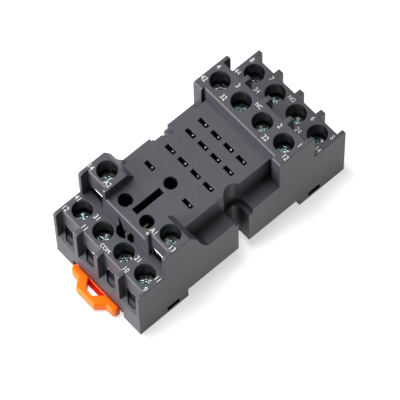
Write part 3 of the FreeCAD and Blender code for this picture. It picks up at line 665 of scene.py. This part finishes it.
def screw_head_mesh(settings):
    """Cheese head with a rounded rim, a slot and a deeper cross recess; its underside is at z 0."""
    radius, height = settings.head_radius, settings.head_height
    rim, chamfer, segments = 0.28 * MM, 0.1 * MM, 48
    profile = [(0, 0), (radius - chamfer, 0), (radius, chamfer), (radius, height - rim)]
    for degrees in (22.5, 45.0, 67.5, 90.0):
        angle = math.radians(degrees)
        profile.append((radius - rim + rim * math.cos(angle), height - rim + rim * math.sin(angle)))
    profile.append((0, height))
    head = new_object("screw head", turned_mesh("screw head", profile, segments))
    across, well_above, just_above = 2.2 * radius, height + 1 * MM, height + 0.001 * MM
    cut_with(head, cutter_mesh(across, settings.slot_width, 0.0, height - settings.slot_depth, well_above))
    for turn in (0.0, math.pi / 2):
        cut_with(head, cutter_mesh(settings.cross_length, settings.cross_width, settings.cross_taper,
                                   height - settings.cross_depth, just_above), turn)
    mesh = head.data
    bpy.data.objects.remove(head)
    return mesh


def thread_mesh(settings, length):
    """Shank with a helical thread that runs out at its tip; its top is at z 0."""
    around, per_turn = 24, 6
    run_out, tip_drop = 0.5 * MM, 0.35 * MM
    pitch = settings.thread_pitch
    tooth = 0.5 * pitch
    rows = int(length / pitch * per_turn)
    build = bmesh.new()
    rings = []
    for row in range(rows + 1):
        z = -length * row / rows
        tip = max(0.0, 1 - (length + z) / run_out)
        ring = []
        for turn in (i / around for i in range(around)):
            phase = (z / pitch - turn) % 1.0
            radius = settings.thread_radius - tooth * abs(2 * phase - 1) - tip_drop * tip
            ring.append(build.verts.new(on_circle(radius, turn, z)))
        rings.append(ring)
    for upper, lower in zip(rings, rings[1:]):
        bridge(build, lower, upper)
    build.faces.new(rings[0])
    build.faces.new(rings[-1][::-1])
    return bmesh_to_mesh("thread", build)


# Added forms

def catch_web_mesh():
    """Webs that narrow the catch pocket and the slot beside it, just behind the plateau's front wall."""
    wall = mount_place("hold_down_hole").y - WALL_BEFORE_HOLE
    deck = mount_place("relay_seat").z - DECK_BELOW_SEAT
    return solids_mesh("catch web", [
        [[(x * MM, wall + behind * MM, deck + z * MM) for x, z in outline] for behind in CATCH_WEB_DEPTHS]
        for outline in CATCH_WEB_OUTLINES])


def clip_web_mesh():
    """Thin sheet along the rear edge of the hole in the clip's finger loop, low down in it, that stands in
    for the shade in the hole as painted shade.
    """
    low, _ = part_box("rail_release_clip")
    rear = low.y + LOOP_HOLE_REAR
    return solids_mesh("clip web", [
        [[(x * MM, rear + y * MM, low.z + z * MM) for x, y in CLIP_SHADE_WEB_OUTLINE] for z in CLIP_SHADE_WEB_HEIGHTS]])


def entry_floors_mesh():
    """Sloping floors of the grooves that lead the wires into the clamps of the front and rear rows."""
    floors = []
    for numbers, outward, wall_distance in ENTRY_ROWS:
        for number in numbers:
            x, y, _, _ = axis_of(node_name("terminal_screw", number))
            wall = y + outward * wall_distance * MM
            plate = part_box(node_name("clamp_plate", number))[0].z - CLAMP_GAP
            floors.append([
                [(x + across * MM, wall + outward * out * MM, plate + z * MM)
                 for across, z in ((-half, top), (half, top), (half, ENTRY_BOTTOM), (-half, ENTRY_BOTTOM))]
                for out, half, top in ENTRY_SECTIONS])
    return solids_mesh("entry floors", floors)


def fork_places():
    """Middle of each contact fork, as (x, y): two for the coil and three rows of four."""
    row = mount_place("hold_down_hole").y - FORKS_BEFORE_HOLE
    places = [(column * FORK_PITCH, row) for column in (-1.5, 1.5)]
    for step in FORK_ROW_STEPS:
        row += step
        places += [(column * FORK_PITCH, row) for column in (-1.5, -0.5, 0.5, 1.5)]
    return places


def fork_tips_mesh():
    """Tongues that are rolled in at the tops of both leaves of each contact fork, just under the slots."""
    half = FORK_TIP_WIDTH / 2 * MM
    leaf_top = mount_place("relay_seat").z - LEAF_BELOW_SEAT
    return solids_mesh("fork tips", [
        [[(x + end * half, y + side * out * MM, leaf_top + up * MM) for out, up in FORK_TIP_SECTION]
         for end in (-side, side)]
        for x, y in fork_places() for side in (-1, 1)], rounding=FORK_TIP_ROUNDING * MM)


# Print

def print_plan():
    """Each printed mark with its terminal and its offset from that screw's axis, in millimetres."""
    marks = []
    for first, names, number_y, name_y, word, word_y in MARK_ROWS:
        for step, (name, across) in enumerate(zip(names, MARK_COLUMNS)):
            number = first - step
            marks += [(str(number), number, across, number_y), (name, number, across, name_y)]
        marks.append((word, first - 1, TERMINAL_PITCH / MM / 2, word_y))
    return marks + list(COIL_MARKS)


def letters_mesh(text, settings):
    """Letters of one printed mark, centred, as a thin film."""
    curve = bpy.data.curves.new("print", "FONT")
    curve.body = text
    curve.size = settings.cap_height / CAPITAL_SHARE
    curve.align_x = "CENTER"
    curve.align_y = "CENTER"
    curve.extrude = settings.film
    curve.resolution_u = 3
    letters = new_object("print", curve)
    mesh = evaluated_mesh(letters)
    bpy.data.objects.remove(letters)
    bpy.data.curves.remove(curve)
    return mesh


# Operators

class FinishHousing(bpy.types.Operator):
    """Gives the housing and the base cover their plastic, and adds the catch webs and groove floors"""
    bl_idname = "socket.finish_housing"
    bl_label = "Finish Housing"

    def execute(self, context):
        plastic = moulded_polyamide()
        for name in ("housing", "base_cover"):
            set_material(frame["nodes"][name], plastic)
        for name, mesh in (("catch_web", catch_web_mesh()), ("entry_floors", entry_floors_mesh())):
            piece = mesh_object(name, mesh, plastic)
            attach(piece, "socket_body")
        return {"FINISHED"}


class FinishClip(bpy.types.Operator):
    """Gives the release clip its orange plastic and its web, a sheet of painted shade in the loop's hole,
    and its spring the rolled steel
    """
    bl_idname = "socket.finish_clip"
    bl_label = "Finish Release Clip"

    def execute(self, context):
        acetal = moulded_acetal()
        set_material(frame["nodes"]["rail_release_clip"], acetal)
        web = mesh_object("clip_web", clip_web_mesh(), acetal)
        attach(web, "release_clip")
        spring = frame["nodes"]["clip_spring"]
        set_material(spring, spring_steel())
        smooth_by_angle(spring.data, 35)
        return {"FINISHED"}


class MakeScrews(bpy.types.Operator):
    """Makes the 14 terminal screws with thread, slot and cross recess"""
    bl_idname = "socket.make_screws"
    bl_label = "Make Terminal Screws"

    def execute(self, context):
        settings = context.scene.socket_metal
        zinc = passivated_zinc("steel screw, zinc plated and passivated", settings.passivation,
                               patch_size=0.9 * MM, dull_and_shade_share=0.5)
        head = screw_head_mesh(settings)
        _, _, low, high = axis_of(node_name("terminal_screw", SCREW_NUMBERS[0]))
        thread = thread_mesh(settings, high - low - settings.head_height)
        for number in SCREW_NUMBERS:
            node = node_name("terminal_screw", number)
            x, y, _, high = axis_of(node)
            turn = Matrix.Rotation(settings.turn_step * number, 4, "Z")
            seat = Matrix.Translation((x, y, high - settings.head_height)) @ turn
            mesh = joined_mesh(node, [(head, seat), (thread, seat)])
            smooth_by_angle(mesh, 28)
            screw = mesh_object(node_name("screw", number), mesh, zinc)
            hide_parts(node)
            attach(screw, node_name("screw", number))
        bpy.data.meshes.remove(head)
        bpy.data.meshes.remove(thread)
        return {"FINISHED"}


class FinishTerminals(bpy.types.Operator):
    """Gives the clamp plates and the contact strips their plated metals, and adds the tips of the forks"""
    bl_idname = "socket.finish_terminals"
    bl_label = "Finish Terminals"

    def execute(self, context):
        settings = context.scene.socket_metal
        # Lit and shaded copies of one zinc: more dull patches on the front and rear rows' clamp plates are
        # painted shade; the coil's clamp plates get the lit copy
        dull = passivated_zinc("steel clamp plate, zinc plated and dull", settings.dull_zinc,
                               patch_size=1.6 * MM, dull_and_shade_share=0.6)
        bright = passivated_zinc("steel clamp plate, zinc plated", settings.dull_zinc,
                                 patch_size=1.6 * MM, dull_and_shade_share=0.47)
        # Painted shade: the contact strips get a darker copy of the tinned brass, with more bare brass
        # patches
        strip = tinned_brass("brass strip, thinly tin plated", bare_and_shade_share=0.66)
        for number in SCREW_NUMBERS:
            set_material(frame["nodes"][node_name("clamp_plate", number)],
                         bright if number in COIL_NUMBERS else dull)
            set_material(frame["nodes"][node_name("contact_strip", number)], strip)
        tips = fork_tips_mesh()
        smooth_by_angle(tips, 50)
        # Lit copy of the same tinned brass for the fork tips, lighter as a painted highlight
        made = mesh_object("fork_tips", tips, tinned_brass("brass strip, tin plated", bare_and_shade_share=0.3))
        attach(made, "socket_body")
        return {"FINISHED"}


class PrintNumbers(bpy.types.Operator):
    """Prints the terminal numbers and the contact names on the decks"""
    bl_idname = "socket.print_numbers"
    bl_label = "Print Terminal Numbers"

    def execute(self, context):
        settings = context.scene.socket_print
        ink = printing_ink()
        parts = []
        for text, number, across, along in print_plan():
            x, y, _, high = axis_of(node_name("terminal_screw", number))
            size = WORD_SIZE if text in MIDDLE_WORDS else 1.0
            squeeze = Matrix.Diagonal((LETTER_WIDTH * size, size, 1.0, 1.0))
            seat = Matrix.Translation((x + across * MM, y + along * MM, high + DECK_ABOVE_HEAD)) @ squeeze
            parts.append((letters_mesh(text, settings), seat))
        made = mesh_object("terminal_print", joined_mesh("terminal print", parts), ink)
        for mesh, _ in parts:
            bpy.data.meshes.remove(mesh)
        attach(made, "socket_body")
        return {"FINISHED"}


class MakeStage(bpy.types.Operator):
    """Sets the floor, the soft lights, the room light and the camera"""
    bl_idname = "socket.make_stage"
    bl_label = "Make Stage"

    def execute(self, context):
        scene = context.scene
        settings = scene.socket_stage
        board = self.floor()
        self.room(scene, settings)
        for name, place, size in LAMPS:
            light = self.soft_light(name + " light", place, size, getattr(settings, name + "_power"))
            self.link_to_board(light, board, "INCLUDE" if name == "board" else "EXCLUDE")
        self.camera(scene, settings)
        scene.view_settings.view_transform = "Standard"
        return {"FINISHED"}

    def floor(self):
        """Board just under the socket."""
        build = bmesh.new()
        bmesh.ops.create_grid(build, x_segments=2, y_segments=2, size=BOARD_HALF_SIDE)
        board = mesh_object("studio_floor", bmesh_to_mesh("studio floor", build), studio_board())
        board.location.z = -BOARD_DROP
        return board

    def room(self, scene, settings):
        """Even light for the object, and plain white where the camera sees past the floor."""
        world = bpy.data.worlds.new("studio room")
        world.use_nodes = True
        tree = world.node_tree
        tree.nodes.clear()
        level = add_node(tree, "ShaderNodeMapRange", (-200, -200),
                         {"Value": seen_directly(tree, (-700, -200)),
                          "To Min": settings.world_level, "To Max": 1.0})
        sky = add_node(tree, "ShaderNodeBackground", (0, 0),
                       {"Color": WHITE, "Strength": level.outputs["Result"]})
        add_node(tree, "ShaderNodeOutputWorld", (300, 0), {"Surface": sky.outputs[0]})
        scene.world = world

    def soft_light(self, name, place, size, power):
        """Square light that faces the socket."""
        lamp = bpy.data.lights.new(name, "AREA")
        lamp.shape = "SQUARE"
        lamp.size = size
        lamp.energy = power
        light = new_object(name, lamp)
        light.location = place
        light.rotation_euler = (-Vector(place)).to_track_quat("-Z", "Y").to_euler()
        return light

    def link_to_board(self, light, board, state):
        """Lets a light fall on the board alone, or on all but the board to keep long shadows off it."""
        receivers = bpy.data.collections.new(light.name + " receivers")
        receivers.objects.link(board)
        receivers.collection_objects[0].light_linking.link_state = state
        light.light_linking.receiver_collection = receivers

    def camera(self, scene, settings):
        """Camera that stands round from the front, looks down at the target and is rolled a little."""
        azimuth, elevation, roll = settings.azimuth, settings.elevation, settings.roll
        back = Vector((math.sin(azimuth) * math.cos(elevation), -math.cos(azimuth) * math.cos(elevation),
                       math.sin(elevation)))
        level = Vector((math.cos(azimuth), math.sin(azimuth), 0))
        steep = back.cross(level)
        right = math.cos(roll) * level + math.sin(roll) * steep
        up = math.cos(roll) * steep - math.sin(roll) * level
        lens = bpy.data.cameras.new("photograph view")
        lens.lens = settings.focal_length
        lens.sensor_width = SENSOR_WIDTH
        lens.clip_start = 0.01
        lens.clip_end = 50
        camera = new_object("photograph view", lens)
        turn = Matrix((right, up, back)).transposed().to_4x4()
        camera.matrix_world = Matrix.Translation(Vector(settings.target) + back * settings.distance) @ turn
        scene.camera = camera


class SocketPanel(bpy.types.Panel):
    """Sidebar panel with the socket's steps and sizes"""
    bl_idname = "VIEW3D_PT_relay_socket"
    bl_label = "Relay Socket"
    bl_space_type = "VIEW_3D"
    bl_region_type = "UI"
    bl_category = "Relay Socket"

    def draw(self, context):
        layout = self.layout
        for operator in OPERATORS:
            layout.operator(operator.bl_idname)
        for name, group in SETTINGS:
            box = layout.box()
            box.label(text=group.__name__)
            for prop in group.__annotations__:
                box.prop(getattr(context.scene, name), prop)


SETTINGS = (
    ("socket_housing", HousingSettings),
    ("socket_clip", ClipSettings),
    ("socket_metal", MetalSettings),
    ("socket_print", PrintSettings),
    ("socket_stage", StageSettings),
)
OPERATORS = (FinishHousing, FinishClip, MakeScrews, FinishTerminals, PrintNumbers, MakeStage)


def register():
    for name, group in SETTINGS:
        bpy.utils.register_class(group)
        setattr(bpy.types.Scene, name, bpy.props.PointerProperty(type=group))
    for operator in OPERATORS:
        bpy.utils.register_class(operator)
    bpy.utils.register_class(SocketPanel)


def unregister():
    bpy.utils.unregister_class(SocketPanel)
    for operator in reversed(OPERATORS):
        bpy.utils.unregister_class(operator)
    for name, group in reversed(SETTINGS):
        delattr(bpy.types.Scene, name)
        bpy.utils.unregister_class(group)


def main():
    """Makes the whole socket's look."""
    register()
    bpy.ops.socket.finish_housing()
    bpy.ops.socket.finish_clip()
    bpy.ops.socket.make_screws()
    bpy.ops.socket.finish_terminals()
    bpy.ops.socket.print_numbers()
    bpy.ops.socket.make_stage()
    bpy.context.view_layer.update()


if __name__ == "__main__":
    main()
